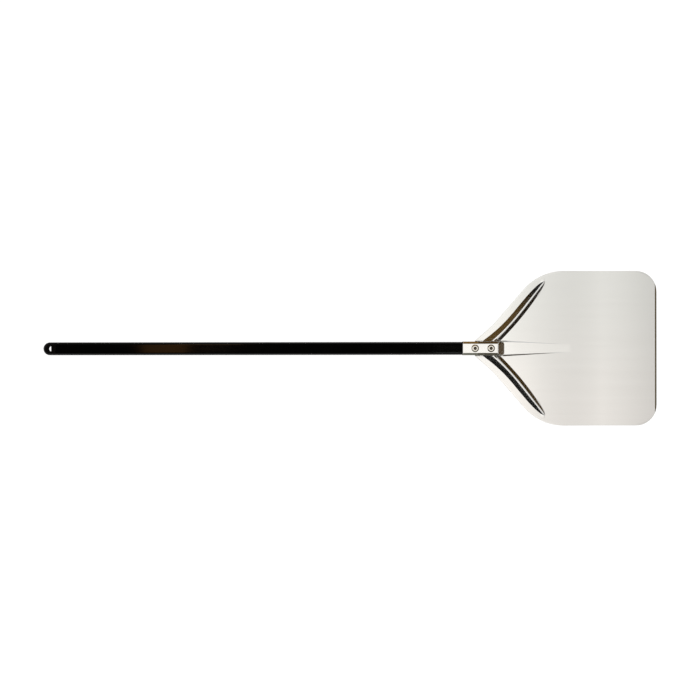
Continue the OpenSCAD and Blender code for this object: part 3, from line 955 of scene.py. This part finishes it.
handle_light("warm_patch", -0.946, -0.742, -0.06, 0.16, 2.36, (1.0, 0.45, 0.13), 0.85)
handle_light("warm_streak", -0.80, -0.50, 0.08, 0.40, 2.37, (1.0, 0.60, 0.33), 2.0)
handle_light("grey_streak", 0.39, 0.515, -0.40, -0.08, 2.37, (0.95, 1.0, 0.95), 2.6)
# dark boards on the floor beside the handle and the ferrule
flag(plane("board_handle", -0.72, 0.232, -0.15, 0.15, -0.0004), BLACK)
flag(plane("board_ferrule", 0.232, 0.275, -0.15, 0.15, -0.0004), (0.17, 0.105, 0.03))
# cards beside the ferrule
for tag, x0, x1, up, low in (("rear", 0.2365, 0.268, (0.17, 0.095, 0.022), (0.155, 0.158, 0.130)),
                             ("front", 0.268, 0.313, (0.070, 0.040, 0.011), (0.072, 0.066, 0.046))):
    for side, sign, colour in (("up", 1, up), ("low", -1, low)):
        flag(wall(f"card_{side}_{tag}", (x0, sign * 0.0165), (x1, sign * 0.0165), 0.0155, 0.041), colour)
# low flags along the shoulders, made of short slats along X, so that they are open towards the handle
fade = [(0.25, 1.2), (0.317, 1.05), (0.33, 0.8), (0.344, 0.5), (0.356, 0.2), (0.368, 0.03), (0.43, 0.03)]
for tag, sign, colour in (("up", 1, (0.078, 0.043, 0.008)), ("low", -1, (0.001, 0.001, 0.0005))):
    slats = []
    for k in range(121):
        f = k / 120
        x, y, top = 0.252 + 0.172 * f, sign * (0.028 + 0.198 * f), 0.070 - 0.018 * f
        slats += [(x - 0.0015, y, 0.0), (x + 0.0015, y, 0.0), (x + 0.0015, y, top), (x - 0.0015, y, top)]
    flag(sheet(f"flag_{tag}", slats), colour, fade)


def build_world():
    world = bpy.data.worlds.new("studio")
    bpy.context.scene.world = world
    world.use_nodes = True
    tree = world.node_tree
    tree.nodes.clear()
    new, link = tree.nodes.new, tree.links.new
    out = new("ShaderNodeOutputWorld")
    coord = new("ShaderNodeTexCoord")
    sep = new("ShaderNodeSeparateXYZ")
    link(coord.outputs["Generated"], sep.inputs[0])

    def span(socket, a, b):
        n = new("ShaderNodeMapRange")
        n.interpolation_type = "SMOOTHSTEP"
        n.inputs["From Min"].default_value = a
        n.inputs["From Max"].default_value = b
        link(socket, n.inputs["Value"])
        return n.outputs["Result"]

    def blend(fac, a, b):
        n = new("ShaderNodeMix")
        n.data_type = "RGBA"
        link(fac, n.inputs["Factor"])
        for key, v in (("A", a), ("B", b)):
            s = [i for i in n.inputs if i.name == key and i.type == "RGBA"][0]
            if isinstance(v, tuple):
                s.default_value = (*v, 1.0)
            else:
                link(v, s)
        return [o for o in n.outputs if o.type == "RGBA"][0]

    def calc(op, a, b=0.0):
        n = new("ShaderNodeMath")
        n.operation = op
        for k, v in enumerate((a, b)):
            if isinstance(v, (int, float)):
                n.inputs[k].default_value = v
            else:
                link(v, n.inputs[k])
        return n.outputs[0]

    # a dark horizon, warm on the far side, that opens towards the near side; a bright sky over it
    x, y, z = (sep.outputs[k] for k in "XYZ")
    near = blend(span(calc("ABSOLUTE", x), 0.42, 0.56), (0.86, 0.86, 0.85), (0.013, 0.008, 0.004))
    low = blend(span(y, -0.25, -0.08), near, BROWN)
    low = blend(span(y, 0.25, 0.45), low, (0.040, 0.021, 0.002))
    low = blend(span(x, -0.80, -0.95), low, (0.30, 0.25, 0.14))
    side = calc("MULTIPLY", span(y, 0.70, 0.85), 0.05)
    corner = calc("MULTIPLY", calc("MULTIPLY", span(x, 0.32, 0.44), span(calc("ABSOLUTE", y), 0.35, 0.50)), 0.075)
    lift = calc("MAXIMUM", side, corner)
    height = calc("SUBTRACT", z, lift)
    above = blend(span(z, 0.4, 0.9), (0.64, 0.64, 0.635), (0.82, 0.82, 0.815))
    sky = blend(span(height, 0.31, 0.355), low, above)
    back = new("ShaderNodeBackground")
    link(sky, back.inputs["Color"])
    seen = new("ShaderNodeBackground")
    seen.inputs["Color"].default_value = (0.96, 0.96, 0.96, 1.0)
    path = new("ShaderNodeLightPath")
    pick = new("ShaderNodeMixShader")
    link(path.outputs["Is Camera Ray"], pick.inputs[0])
    link(back.outputs[0], pick.inputs[1])
    link(seen.outputs[0], pick.inputs[2])
    link(pick.outputs[0], out.inputs["Surface"])


build_world()

scene = bpy.context.scene
scene.view_settings.view_transform = "Standard"
scene.view_settings.look = "None"

cam_data = bpy.data.cameras.new("camera")
cam_data.sensor_width = 36.0
cam_data.lens = 18.0 / math.tan(math.radians(20.0))
cam = bpy.data.objects.new("camera", cam_data)
cam.location = (-0.0030, -0.0032, 2.0535)
cam.rotation_euler = (0.0, 0.0, -0.00107)
scene.collection.objects.link(cam)
scene.camera = cam
